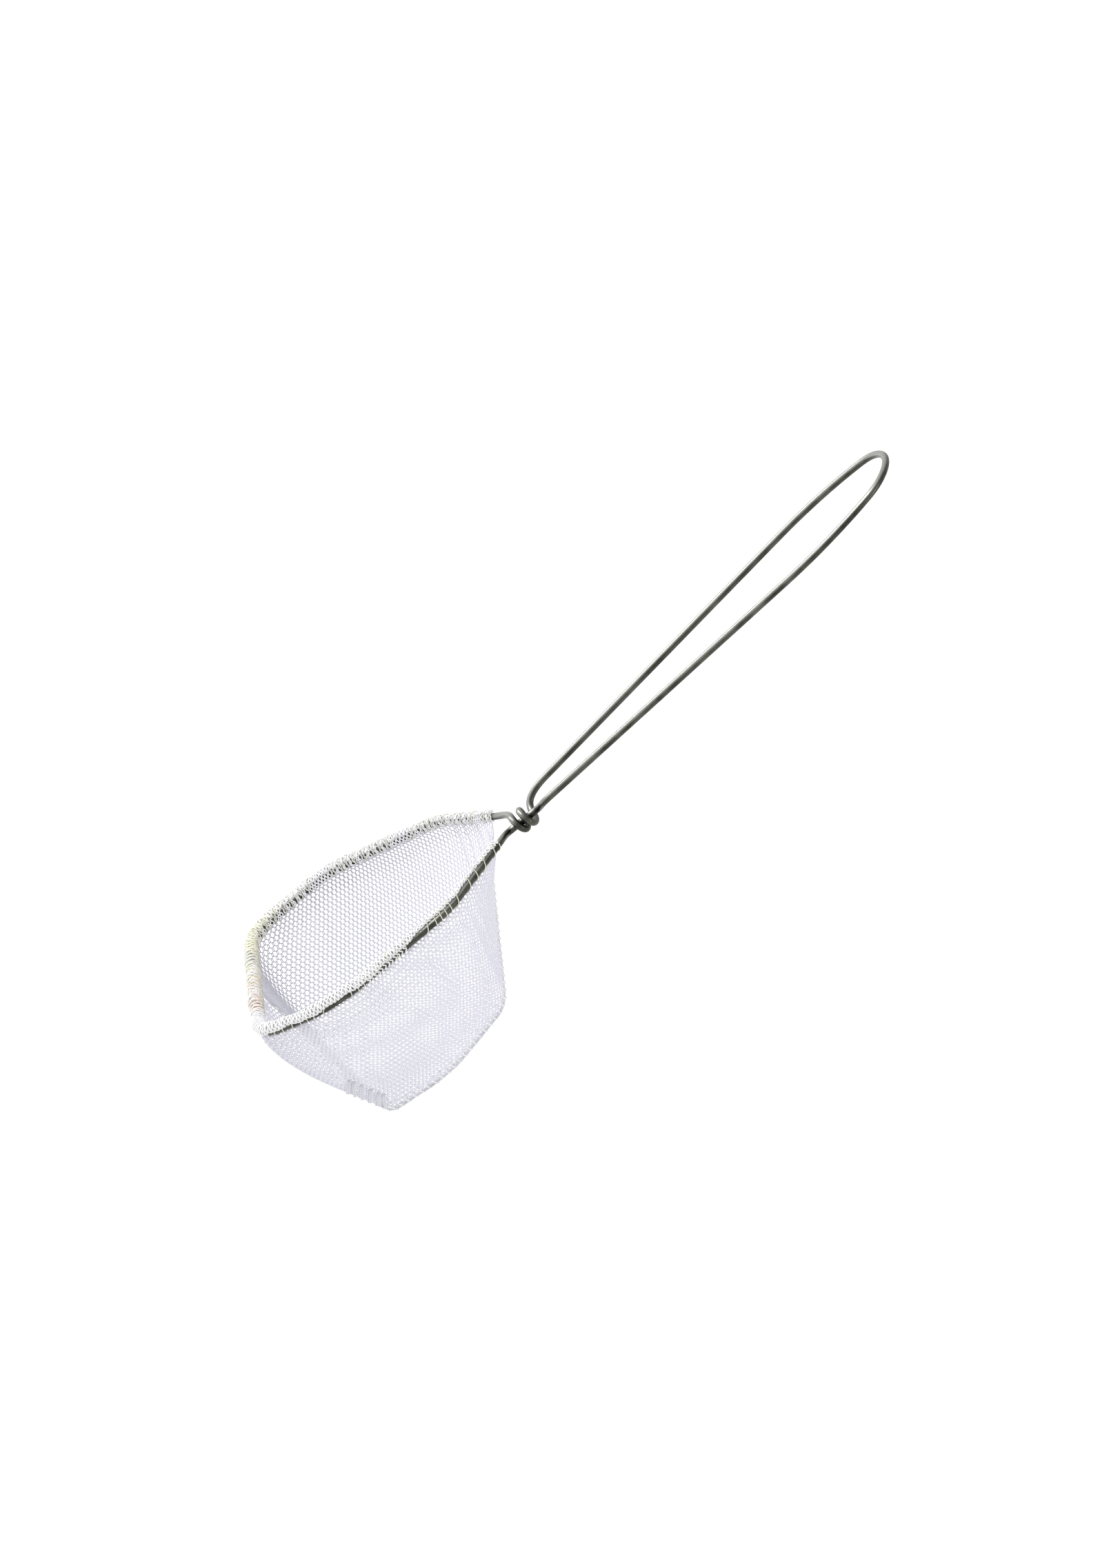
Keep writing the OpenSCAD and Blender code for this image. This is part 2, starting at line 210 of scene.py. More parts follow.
def round_runs(name, runs, thickness, resolution):
    """One mesh of round threads or wires: each run of points, in millimetres, becomes a closed tube.
    Its UV map has the length along the run, in millimetres, and the share of the way round it."""
    bpy.ops.object.select_all(action="DESELECT")
    curve = bpy.data.curves.new(name, "CURVE")
    curve.dimensions = "3D"
    curve.bevel_depth = thickness * MM / 2
    curve.bevel_resolution = resolution
    for run in runs:
        spline = curve.splines.new("POLY")
        spline.points.add(len(run) - 1)
        spline.points.foreach_set("co", np.c_[np.asarray(run) * MM, np.ones(len(run))].ravel())
        spline.use_smooth = True
    piece = bpy.data.objects.new(name, curve)
    bpy.context.scene.collection.objects.link(piece)
    piece.select_set(True)
    bpy.context.view_layer.objects.active = piece
    bpy.ops.object.convert(target="MESH")
    sides = 4 + 2 * resolution
    corners_of_run = [(len(run) - 1) * sides * 4 for run in runs]
    layer = piece.data.uv_layers.active
    uv = np.zeros(len(piece.data.loops) * 2)
    layer.data.foreach_get("uv", uv)
    uv[0::2] *= np.repeat([lengths(run)[-1] for run in runs], corners_of_run)
    layer.data.foreach_set("uv", uv)
    bpy.ops.object.mode_set(mode="EDIT")
    bpy.ops.mesh.select_all(action="SELECT")
    bpy.ops.mesh.fill_holes(sides=sides)
    bpy.ops.mesh.select_all(action="SELECT")
    bpy.ops.mesh.normals_make_consistent(inside=False)
    bpy.ops.object.mode_set(mode="OBJECT")
    return piece


side = np.array([0.0, 1, 0])
handle_dir = np.array([math.cos(handle_rise), 0, math.sin(handle_rise)])
hoop_dir = np.array([-math.cos(hoop_dip), 0, -math.sin(hoop_dip)])
neck = -grip_at * handle_dir
neck_slope = (handle_rise + hoop_dip) / 2
neck_dir = np.array([math.cos(neck_slope), 0, math.sin(neck_slope)])
neck_up = np.array([-math.sin(neck_slope), 0, math.cos(neck_slope)])


def on_handle(q):
    return neck + np.outer(np.atleast_2d(q)[:, 0], handle_dir) + np.outer(np.atleast_2d(q)[:, 1], side)


def on_hoop(q):
    return neck + np.outer(np.atleast_2d(q)[:, 0], hoop_dir) + np.outer(np.atleast_2d(q)[:, 1], side)


def on_wrap(s, y, up):
    return neck + s * neck_dir + (y - wrap_side) * side + (up - wrap_low) * neck_up


# Half of the handle loop in its plane: a straight leg, the long bend of the side, half of the round end
end_centre = np.array([handle_len - handle_end_r, 0])
bow_drop = handle_side_r - handle_w / 2
bow_reach = math.sqrt((handle_side_r - handle_end_r) ** 2 - bow_drop**2)
bow_centre = end_centre + np.array([-bow_reach, -bow_drop])
bow_end = math.atan2(bow_drop, bow_reach)
leg_foot = np.array([leg_start, leg_gap / 2])
to_bow = bow_centre - leg_foot
leg_angle = math.atan2(to_bow[1], to_bow[0]) + math.asin(handle_side_r / np.linalg.norm(to_bow))
half_handle = evenly(
    [leg_foot] + arc(bow_centre, handle_side_r, math.pi / 2 + leg_angle, bow_end)
    + arc(end_centre, handle_end_r, bow_end, 0), run_step)
# Half of the hoop in its plane, from the neck to the middle of the far end
side_root = np.array([0, neck_w / 2])
side_dir = unit(np.array(shoulder) - side_root)
hoop_start = side_root + side_dir * side_start / side_dir[0]
half_hoop = bent([hoop_start, shoulder, widest, end_corner, (hoop_len, 0)], hoop_radii)


def leg_down(y):
    return -math.cos(leg_angle) * handle_dir - y * math.sin(leg_angle) * side


def side_out(y):
    return side_dir[0] * hoop_dir + y * side_dir[1] * side


# Left strand of the neck, straight through the wrap, and right strand, wound under and round it
wrap_top = wrap_at + wrap_pitch * wrap_turns / 2
wrap_end = wrap_at - wrap_pitch * wrap_turns / 2
core_from = on_handle([leg_foot[0], -leg_foot[1]])[0]
core_top = on_wrap(wrap_top + wire_d / 2, 0, core_sag)
core_bottom = on_wrap(wrap_end - wire_d / 2, 0, core_sag)
core_to = on_hoop([hoop_start[0], -hoop_start[1]])[0]
core_run = np.concatenate([
    bezier(core_from, core_from + bend_reach * leg_down(-1),
           core_top + bend_reach * neck_dir, core_top),
    bezier(core_bottom, core_bottom - bend_reach * neck_dir,
           core_to - bend_reach * side_out(-1), core_to)])
wrap_lead = wrap_pitch / (2 * math.pi * wrap_r)
turns = np.linspace(0, 2 * math.pi * wrap_turns, 97)
wrap_coil = np.array([
    on_wrap(wrap_top - wrap_pitch * a / (2 * math.pi), -wrap_r * math.sin(a), -wrap_r * math.cos(a))
    for a in turns])
wrap_from, wrap_to = on_handle(leg_foot)[0], on_hoop(hoop_start)[0]
wrap_run = np.concatenate([
    bezier(wrap_from, wrap_from + leg_reach * leg_down(1),
           wrap_coil[0] + bend_reach * unit(side + wrap_lead * neck_dir), wrap_coil[0])[:-1],
    wrap_coil,
    bezier(wrap_coil[-1], wrap_coil[-1] + bend_reach * unit(side - wrap_lead * neck_dir),
           wrap_to - bend_reach * side_out(1), wrap_to)[1:]])

far_half = on_hoop(half_hoop)
near_half = on_hoop(half_hoop * [1, -1])
wire_run = np.concatenate([
    far_half[:0:-1], wrap_run[::-1], on_handle(half_handle)[1:],
    on_handle(half_handle * [1, -1])[-2:0:-1], core_run, near_half[1:]])
wire_length = lengths(wire_run)[-1]
wire_run = at_length(
    wire_run, np.linspace(wire_butt, wire_length - wire_butt, round(wire_length / wire_step)))
wire = round_runs("frame_wire", [wire_run], wire_d, wire_sides_res)

# Dull zinc on drawn steel: cloudy patina, long drawing streaks, and a painted highlight: the side
# facing up and to the left is paler
zinc_dark, zinc_pale = (0.024, 0.024, 0.019, 1), (0.105, 0.105, 0.09, 1)
zinc_painted_highlight = (0.33, 0.33, 0.31, 1)
painted_light_side = (-0.8, 0.2, 0.56)
highlight_from, highlight_to, highlight_blotch = 0.02, 0.8, 0.5
patina_scale, patina_share, streak_share = 160, 0.65, 0.35
streak_stretch, streaks_round = 0.06, 26
wire_rough = (0.46, 0.24)
score_strength, score_depth = 0.35, 0.05
wire_steel = bpy.data.materials.new("drawn_wire")
wire_steel.use_nodes = True
tree = wire_steel.node_tree
shader = tree.nodes["Principled BSDF"]
shader.inputs["Metallic"].default_value = 1.0
place = tree.nodes.new("ShaderNodeTexCoord")


def noise(tree, vector, scale, detail):
    node = tree.nodes.new("ShaderNodeTexNoise")
    node.inputs["Scale"].default_value = scale
    node.inputs["Detail"].default_value = detail
    tree.links.new(vector, node.inputs["Vector"])
    return node.outputs["Fac"]


def maths(tree, operation, *values):
    node = tree.nodes.new("ShaderNodeMath")
    node.operation = operation
    for socket, value in zip(node.inputs, values):
        if isinstance(value, (int, float)):
            socket.default_value = value
        else:
            tree.links.new(value, socket)
    return node.outputs[0]


patina = noise(tree, place.outputs["Object"], patina_scale, 6)
unrolled = tree.nodes.new("ShaderNodeSeparateXYZ")
tree.links.new(place.outputs["UV"], unrolled.inputs[0])
drawn = tree.nodes.new("ShaderNodeCombineXYZ")
tree.links.new(maths(tree, "MULTIPLY", unrolled.outputs[0], streak_stretch), drawn.inputs[0])
tree.links.new(
    maths(tree, "MULTIPLY", maths(tree, "PINGPONG", unrolled.outputs[1], 0.5), streaks_round),
    drawn.inputs[1])
streaks = noise(tree, drawn.outputs[0], 1, 3)
tone = tree.nodes.new("ShaderNodeValToRGB")
tone.color_ramp.elements[0].position = 0.34
tone.color_ramp.elements[0].color = zinc_dark
tone.color_ramp.elements[1].position = 0.68
tone.color_ramp.elements[1].color = zinc_pale
cloudy = maths(
    tree, "ADD", maths(tree, "MULTIPLY", patina, patina_share),
    maths(tree, "MULTIPLY", streaks, streak_share))
tree.links.new(cloudy, tone.inputs["Fac"])
# Painted highlight: where the wire's normal faces up and to the left, toward the lamps, the zinc is
# painted paler, blotched by patina and streaks
facing_light = tree.nodes.new("ShaderNodeVectorMath")
facing_light.operation = "DOT_PRODUCT"
tree.links.new(place.outputs["Normal"], facing_light.inputs[0])
facing_light.inputs[1].default_value = painted_light_side
painted_highlight = tree.nodes.new("ShaderNodeMapRange")
painted_highlight.interpolation_type = "SMOOTHSTEP"
painted_highlight.inputs["From Min"].default_value = highlight_from
painted_highlight.inputs["From Max"].default_value = highlight_to
tone_and_painted_shading = maths(
    tree, "MULTIPLY_ADD", maths(tree, "SUBTRACT", cloudy, 0.5), highlight_blotch, facing_light.outputs["Value"])
tree.links.new(tone_and_painted_shading, painted_highlight.inputs["Value"])
zinc = tree.nodes.new("ShaderNodeMix")
zinc.data_type = "RGBA"
tree.links.new(painted_highlight.outputs[0], zinc.inputs["Factor"])
tree.links.new(tone.outputs["Color"], zinc.inputs[6])
zinc.inputs[7].default_value = zinc_painted_highlight
tree.links.new(zinc.outputs[2], shader.inputs["Base Color"])
tree.links.new(between(tree, patina, *wire_rough), shader.inputs["Roughness"])
scored = tree.nodes.new("ShaderNodeBump")
scored.inputs["Strength"].default_value = score_strength
scored.inputs["Distance"].default_value = score_depth * MM
tree.links.new(streaks, scored.inputs["Height"])
tree.links.new(scored.outputs["Normal"], shader.inputs["Normal"])
wire.data.materials.append(wire_steel)
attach(wire, "root")
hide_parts("handle_loop", "neck_core", "neck_wrap", "hoop")

# Bag halves: fine white net of twisted threads, cut flat in two like pieces and hung inside the
# hoop. Each thread runs down the cloth and leans to its left and right neighbour in turn.
cell_w = 1.6
cell_edge = 0.92
cell_slant = 0.46
thread_d = 0.44
thread_part, thread_lift = 0.9, 0.2
hem_reach, seam_reach = 1.5, 0.5
bag_belly = 5.5
throat_at, throat_drop = 10, 4
heel, belly, tip = (-2.5, -70), (-21, -95), (-41.5, -109.5)
seam_radii = (14, 60, 4)
hem_clear = 2.7
seam_head, seam_clear, sewn_gap = 8, 1.1, 0.3
heel_share, tip_share = 0.24, 0.7
gather_deep, fold_deep, corner_deep, pleat_deep = 0.4, 0.9, 3.0, 0.5
crease_w, creases_at = 0.006, ((0.125, 0.5), (0.165, 0.9), (0.205, 0.7))


def on_seam(q):
    return neck + np.stack([q[:, 0], np.zeros(len(q)), q[:, 1]], axis=-1)


def nearest_length(run, point):
    return lengths(run)[np.argmin(np.linalg.norm(run - np.asarray(point), axis=1))]


def headings(run):
    ahead = np.gradient(run, axis=0)
    return ahead / np.linalg.norm(ahead, axis=1, keepdims=True)


def across(v, along):
    v = v - (v * along).sum(-1, keepdims=True) * along
    return v / np.linalg.norm(v, axis=-1, keepdims=True)


flat_hoop_dir = np.array([hoop_dir[0], hoop_dir[2]])
throat = throat_at * flat_hoop_dir - [0, throat_drop]
far_end = hoop_len * flat_hoop_dir
seam_top = far_end + hem_clear * unit(np.array(tip) - far_end)
seam_flat = bent([throat, heel, belly, tip, seam_top], seam_radii)
seam_run = on_seam(seam_flat)
rim_ahead, seam_ahead = headings(near_half), headings(seam_run)
rim_long, seam_long = lengths(near_half), lengths(seam_run)
rim_marks = [sewn_gap, nearest_length(half_hoop, shoulder), nearest_length(half_hoop, end_corner),
             rim_long[-1] - seam_clear]
seam_marks = [sewn_gap, nearest_length(seam_flat, heel), nearest_length(seam_flat, tip),
              seam_long[-1] - seam_head]
part_marks = [0, heel_share, tip_share, 1]
bag_middle = on_hoop((hoop_len / 2, 0))[0]


def hang(column):
    """Rim place, seam place and their headings, for shares of the way round the near half."""
    rim_at = np.interp(column, part_marks, rim_marks)
    seam_at = np.interp(column, part_marks, seam_marks)
    w, q = at_length(near_half, rim_at), at_length(seam_run, seam_at)
    rim_way = np.stack([np.interp(rim_at, rim_long, rim_ahead[:, k]) for k in range(3)], axis=-1)
    seam_way = np.stack([np.interp(seam_at, seam_long, seam_ahead[:, k]) for k in range(3)], axis=-1)
    return w, q, rim_way, seam_way


def sway(column, drop):
    """Outward sway of the limp net: gathers under the hem, soft folds, creases to the heel, a full wall
    at the far end, and pleats under the far end."""
    off_hem = np.minimum(12 * drop, 1)
    gathers = (gather_deep * np.sin(97 * column) * np.sin(41 * column + 1)
               * (1 - drop) ** 2 * off_hem)
    folds = fold_deep * np.sin(19 * column + 2.2 * drop) * np.sin(math.pi * drop)
    creases = sum(
        tall * np.exp(-((column - at - 0.015 * drop) / crease_w) ** 2)
        for at, tall in creases_at) * np.sin(math.pi * np.sqrt(drop))
    corner = corner_deep * np.exp(-((column - 0.8) / 0.16) ** 2) * np.sin(math.pi * drop)
    pleats = (pleat_deep * np.sin(245 * column) * np.clip((column - 0.72) / 0.06, 0, 1)
              * np.exp(-drop / 0.22))
    return gathers + folds + creases + corner + pleats * off_hem


def cloth(column, drop):
    """Points of the near half's cloth, from the rim at drop 0 to the seam at drop 1."""
    w, q, rim_way, seam_way = hang(column)
    top = w + hem_reach * across(q - w, rim_way)
    foot = q + seam_reach * across(w - q, seam_way)
    out = (w - bag_middle) * [1, 1, 0]
    out = out / np.linalg.norm(out, axis=-1, keepdims=True)
    full = np.sin(math.pi * column) * np.sin(math.pi * np.sqrt(drop)) * bag_belly + sway(column, drop)
    return top * (1 - drop)[..., None] + foot * drop[..., None] + full[..., None] * out


cloth_columns, cloth_rows = 360, 48
column_grid, drop_grid = np.meshgrid(
    np.linspace(0, 1, cloth_columns + 1), np.linspace(0, 1, cloth_rows + 1), indexing="ij")
cloth_points = cloth(column_grid.ravel(), drop_grid.ravel())
row = cloth_rows + 1
cloth_faces = [(i * row + j, (i + 1) * row + j, (i + 1) * row + j + 1, i * row + j + 1)
               for i in range(cloth_columns) for j in range(cloth_rows)]

# The flat cut: the hanging cloth laid out by unwrapping it
pattern_mesh = bpy.data.meshes.new("cut")
pattern_mesh.from_pydata((cloth_points * MM).tolist(), [], cloth_faces)
pattern = bpy.data.objects.new("cut", pattern_mesh)
bpy.context.scene.collection.objects.link(pattern)
bpy.ops.object.select_all(action="DESELECT")
pattern.select_set(True)
bpy.context.view_layer.objects.active = pattern
bpy.ops.object.mode_set(mode="EDIT")
bpy.ops.mesh.select_all(action="SELECT")
bpy.ops.uv.unwrap(method="ANGLE_BASED", margin=0)
bpy.ops.object.mode_set(mode="OBJECT")
corner_uv = np.zeros(len(pattern_mesh.loops) * 2)
pattern_mesh.uv_layers.active.data.foreach_get("uv", corner_uv)
corner_vertex = np.zeros(len(pattern_mesh.loops), int)
pattern_mesh.loops.foreach_get("vertex_index", corner_vertex)
cut = np.zeros((len(cloth_points), 2))
cut[corner_vertex] = corner_uv.reshape(-1, 2)
cloth_normals = np.zeros(len(cloth_points) * 3)
pattern_mesh.vertices.foreach_get("normal", cloth_normals)
cloth_normals = cloth_normals.reshape(-1, 3)
bpy.data.objects.remove(pattern)
# Turned and sized so that the threads run straight down from the hoop's side
down_dir = np.array([-hoop_dir[2], 0, hoop_dir[0]])
laid = (cloth_points - neck) @ hoop_dir + 1j * ((cloth_points - neck) @ down_dir)
cut = cut[:, 0] + 1j * cut[:, 1]
fits = []
for candidate in (cut, np.conj(cut)):
    a = np.c_[candidate, np.ones(len(candidate))]
    (turn, shift), *_ = np.linalg.lstsq(a, laid, rcond=None)
    fits.append((np.abs(a @ [turn, shift] - laid).mean(), candidate * turn / abs(turn)))
cut = min(fits, key=lambda fit: fit[0])[1]
faces = np.array(cloth_faces)
grown = (np.linalg.norm(cloth_points[faces[:, 0]] - cloth_points[faces[:, 2]], axis=1)
         / np.abs(cut[faces[:, 0]] - cut[faces[:, 2]]))
cut = cut * np.median(grown)
cut -= cut.real.min() + 1j * cut.imag.min()
# The net is drawn tight toward the far end, so the cut is shorter there than the net hangs
drawn_tight, tight_from = 0.12, 85
cut -= drawn_tight / 2 * np.maximum(cut.real - tight_from, 0) ** 2 / (cut.real.max() - tight_from)
triangles = [t for f in cloth_faces for t in ((f[0], f[1], f[2]), (f[0], f[2], f[3]))]
flat_points = [Vector((z.real, z.imag, 0)) for z in cut]
hung_points = [Vector(p) for p in cloth_points]
finder = BVHTree.FromPolygons(flat_points, triangles)
edge_a, edge_b, edge_c = (cut[[t[k] for t in triangles]] for k in range(3))
cut_area = np.abs(((edge_b - edge_a).conj() * (edge_c - edge_a)).imag).sum() / 2


def hung(u, v):
    """Where a point of the flat cut hangs, its normal there, and how far it lies outside the cut."""
    spot, _, index, miss = finder.find_nearest(Vector((u, v, 0)))
    a, b, c = triangles[index]
    place = barycentric_transform(
        spot, flat_points[a], flat_points[b], flat_points[c],
        hung_points[a], hung_points[b], hung_points[c])
    return np.array(place), cloth_normals[a], miss


def net_threads():
    """The threads of one half, as runs of points: each stays inside the cut."""
    runs = []
    cell_h = cell_edge + cell_slant
    half_w = cell_w / 2
    for k in range(-1, math.ceil(cut.real.max() / half_w) + 1):
        run = []
        for r in range(-1, math.ceil(cut.imag.max() / cell_h) + 1):
            right = (r + k) % 2
            u = (k + right) * half_w + (right - 0.5) * thread_d * thread_part
            for v in (r * cell_h, r * cell_h + cell_edge):
                place, normal, miss = hung(u, v)
                if miss < 1e-4:
                    run.append(place + normal * thread_d * thread_lift * (1 if right else -1))
                else:
                    if len(run) > 1:
                        runs.append(run + ([place] if miss < cell_w else []))
                    run = [place] if miss < cell_w else []
        if len(run) > 1:
            runs.append(run)
    return [np.array(run) for run in runs]


half_threads = net_threads()

# Twisted thread, shared by net, hem and stitches: plies wound round each other, and uneven fibres.
# The grooves between the plies are painted darker, as painted shade
fibre_scale, wash_scale = 1400, 45
thread_rough = (0.72, 0.42)
ply_strength, ply_deep = 0.5, 0.06
twist = bpy.data.node_groups.new("twisted_thread", "ShaderNodeTree")
for name, kind in (("Lay", "Float"), ("Plies", "Float"), ("Light", "Color"), ("Shade", "Color")):
    twist.interface.new_socket(name, in_out="INPUT", socket_type="NodeSocket" + kind)
for name, kind in (("Colour", "Color"), ("Roughness", "Float"), ("Height", "Float")):
    twist.interface.new_socket(name, in_out="OUTPUT", socket_type="NodeSocket" + kind)
taken, given = twist.nodes.new("NodeGroupInput"), twist.nodes.new("NodeGroupOutput")
place = twist.nodes.new("ShaderNodeTexCoord")
unrolled = twist.nodes.new("ShaderNodeSeparateXYZ")
twist.links.new(place.outputs["UV"], unrolled.inputs[0])
turns = maths(
    twist, "ADD", maths(twist, "DIVIDE", unrolled.outputs[0], taken.outputs["Lay"]),
    maths(twist, "MULTIPLY", unrolled.outputs[1], taken.outputs["Plies"]))
wave = maths(twist, "SINE", maths(twist, "MULTIPLY", turns, 2 * math.pi))
ply = maths(twist, "MULTIPLY_ADD", wave, 0.5, 0.5)
fibres = noise(twist, place.outputs["Object"], fibre_scale, 2)
washed = noise(twist, place.outputs["Object"], wash_scale, 3)
# The colour follows fibre and wash noise, and the ply wave darkens the grooves between plies as painted
# shade
tone_and_painted_shading = maths(twist, "MULTIPLY_ADD", fibres, 0.5, maths(twist, "MULTIPLY_ADD", ply, 0.3, washed))
colour = twist.nodes.new("ShaderNodeMix")
colour.data_type = "RGBA"
twist.links.new(maths(twist, "SUBTRACT", tone_and_painted_shading, 0.4), colour.inputs["Factor"])
twist.links.new(taken.outputs["Shade"], colour.inputs[6])
twist.links.new(taken.outputs["Light"], colour.inputs[7])
twist.links.new(colour.outputs[2], given.inputs["Colour"])
twist.links.new(between(twist, fibres, *thread_rough), given.inputs["Roughness"])
twist.links.new(maths(twist, "MULTIPLY_ADD", fibres, 0.4, ply), given.inputs["Height"])


def thread_material(name, lay, plies, light, shade):
    """Thread of a lay in millimetres, with its own tints; also gives the socket of its colour."""
    material = bpy.data.materials.new(name)
    material.use_nodes = True
    tree = material.node_tree
    shader = tree.nodes["Principled BSDF"]
    wound = tree.nodes.new("ShaderNodeGroup")
    wound.node_tree = twist
    wound.inputs["Lay"].default_value = lay
    wound.inputs["Plies"].default_value = plies
    wound.inputs["Light"].default_value = (*light, 1)
    wound.inputs["Shade"].default_value = (*shade, 1)
    tree.links.new(wound.outputs["Colour"], shader.inputs["Base Color"])
    tree.links.new(wound.outputs["Roughness"], shader.inputs["Roughness"])
    ridges = tree.nodes.new("ShaderNodeBump")
    ridges.inputs["Strength"].default_value = ply_strength
    ridges.inputs["Distance"].default_value = ply_deep * MM
    tree.links.new(wound.outputs["Height"], ridges.inputs["Height"])
    tree.links.new(ridges.outputs["Normal"], shader.inputs["Normal"])
    shader.inputs["Sheen Weight"].default_value = 0.12
    return material, wound.outputs["Colour"]


net_nylon, net_colour = thread_material("net_nylon", 0.9, 2, (0.9, 0.895, 0.955), (0.84, 0.835, 0.92))
# Painted shade: the right half is greyer toward its far end, deep inside the bag
net_painted_shade = (0.66, 0.655, 0.72, 1)
shade_along, shade_across = (-0.085, -0.155), (0, 0.03)
tree = net_nylon.node_tree
place = tree.nodes.new("ShaderNodeTexCoord")
there = tree.nodes.new("ShaderNodeSeparateXYZ")
tree.links.new(place.outputs["Object"], there.inputs[0])
shade_parts = []
for axis, (from_min, from_max) in enumerate((shade_along, shade_across)):
    part = tree.nodes.new("ShaderNodeMapRange")
    part.inputs["From Min"].default_value = from_min
    part.inputs["From Max"].default_value = from_max
    tree.links.new(there.outputs[axis], part.inputs["Value"])
    shade_parts.append(part.outputs[0])
net_shaded = tree.nodes.new("ShaderNodeMix")
net_shaded.data_type = "RGBA"
tree.links.new(maths(tree, "MULTIPLY", *shade_parts), net_shaded.inputs["Factor"])
tree.links.new(net_colour, net_shaded.inputs[6])
net_shaded.inputs[7].default_value = net_painted_shade
tree.links.new(net_shaded.outputs[2], tree.nodes["Principled BSDF"].inputs["Base Color"])
for name, hand in (("left_panel", 1), ("right_panel", -1)):
    panel = round_runs("net_" + name, [run * [1, hand, 1] for run in half_threads], thread_d, 1)
    panel.data.materials.append(net_nylon)
    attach(panel, "root")
    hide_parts(name)

# Rim hem: the net's edge is turned over the hoop wire from inside, doubled back at the top and
# whip-stitched. Toward the neck the turned edge is scant, so that the wire shows between the stitches.
hem_thread_d = 0.5
hem_pitch = 0.72
hem_gap = 0.38
fold_gap = 0.42
whip_pitch = 4.1
rim_total = 2 * rim_long[-1]
# Share of the way from the neck to the far end, with the fold's last angle and its puff there
fold_marks = (0.0, 0.28, 0.35, 0.44, 0.52, 0.74, 0.84, 1.0)
fold_ends = (152, 160, 205, 222, 210, 220, 252, 262)
fold_puffs = (0.25, 0.35, 0.5, 0.65, 0.95, 1.1, 1.15, 1.2)


def rim_frames(place):
    """Wire centre, way to the bag and outward way, at distances from the near neck to the far one."""
    place = np.asarray(place, float)
    far = place > rim_long[-1]
    s = np.where(far, rim_total - place, place)
    w = at_length(near_half, s)
    q = at_length(seam_run, np.interp(s, rim_marks, seam_marks))
    way = np.stack([np.interp(s, rim_long, rim_ahead[:, k]) for k in range(3)], axis=-1)
    way = way / np.linalg.norm(way, axis=-1, keepdims=True)
    down = across(q - w, way)
    out = np.cross(way, down)
    out = out * np.sign((out * (w - bag_middle)).sum(-1, keepdims=True))
    flip = np.where(far[..., None], [1, -1, 1], [1, 1, 1])
    return w * flip, down * flip, out * flip


def round_rim(place, angle, radius):
    """Points round the hoop wire: angle 0 is at the bag, 90 inside, 180 on top and 270 outside."""
    w, down, out = rim_frames(place)
    a = np.radians(angle)[..., None]
    return w + np.asarray(radius)[..., None] * (np.cos(a) * down - np.sin(a) * out)


def from_neck(place):
    return np.minimum(place, rim_total - place) / rim_long[-1]


def lumps(place):
    """Slow unevenness along a hand-turned hem, about 1."""
    return (1 + 0.13 * np.sin(place / 4.1) + 0.11 * np.sin(place / 2.3 + 1.3)
            + 0.08 * np.sin(place / 1.37))


def fold_end(place):
    """Angle at which the turned edge doubles back: it wanders a little."""
    return (np.interp(from_neck(place), fold_marks, fold_ends) + 8 * np.sin(place / 3.3)
            + 5 * np.sin(place / 1.21))


def whip_turns(place):
    """Turns that the whip stitch has made on its way from the near neck: its pitch wanders."""
    return place / whip_pitch + 0.62 * np.sin(place / 5.1) + 0.36 * np.sin(place / 2.9 + 1)


def pull(place):
    """How far the stitches pull the hem's threads together: little on the near side, more elsewhere."""
    return np.interp(
        place / rim_total, (0, 0.17, 0.36, 0.43, 0.5, 1), (0.3, 0.1, 0.1, 0.38, 0.45, 0.45))


def fold_start(place):
    """Angle at which the doubled part of the hem begins: low on the near side, higher elsewhere."""
    return np.interp(place / rim_total, (0, 0.4, 0.46, 0.54, 0.6, 1), (72, 72, 108, 108, 92, 92))


def hem_layers(place, angle):
    """Radii of the hem's two layers round the wire: they puff up between the fold's start and end,
    and less where a stitch crosses the top."""
    crossing = np.sin(math.pi * whip_turns(place)) ** 6
    puff = (np.interp(from_neck(place), fold_marks, fold_puffs) * lumps(place)
            * (1 - 1.1 * pull(place) * crossing))
    rise = np.clip((angle - fold_start(place)) / (fold_end(place) + 12 - fold_start(place)), 0, 1)
    puff = puff * np.sin(math.pi * rise) ** 0.7
    inner = wire_d / 2 + hem_gap + 0.35 * puff
    return inner, inner + fold_gap + 0.65 * puff


hem_runs = []
for k in range(int(rim_total / hem_pitch)):
    middle = (k + 0.5) * hem_pitch
    middle += pull(middle) * math.sin(2 * math.pi * whip_turns(middle))
    middle = float(np.clip(middle, 0.3, rim_total - 0.3))
    last = fold_end(middle)
    up = np.arange(-25, last, 17)
    back = np.arange(last - 8, fold_start(middle), -13)
    angles = np.concatenate([up, [last], back])
    at_last = sum(hem_layers(middle, last)) / 2
    radii = np.concatenate([hem_layers(middle, up)[0], [at_last], hem_layers(middle, back)[1]])
    row_of = np.arange(len(angles)) // 2
    lean = np.where((row_of + k) % 2, 0.5, -0.5) * (hem_pitch - hem_thread_d * 0.7)
    hem_runs.append(round_rim(np.clip(middle + lean, 0.1, rim_total - 0.1), angles, radii))
    # On the near side the turned edge runs on, thinner, over the wire's outer side
    share = middle / rim_long[-1]
    if 0.34 < share < 0.46 and k % 2:
        angles = np.arange(last - 6, 322, 16)
        lean = np.where((np.arange(len(angles)) // 2 + k) % 2, 0.3, -0.3)
        radii = np.interp(angles, (last - 6, last + 20), (at_last, wire_d / 2 + hem_gap))
        hem_runs.append(round_rim(middle + lean, angles, radii))
hem = round_runs("hem_fold", hem_runs, hem_thread_d, 1)
hem_net, hem_colour = thread_material("hem_net", 0.9, 2, (0.97, 0.97, 0.975), (0.92, 0.92, 0.94))
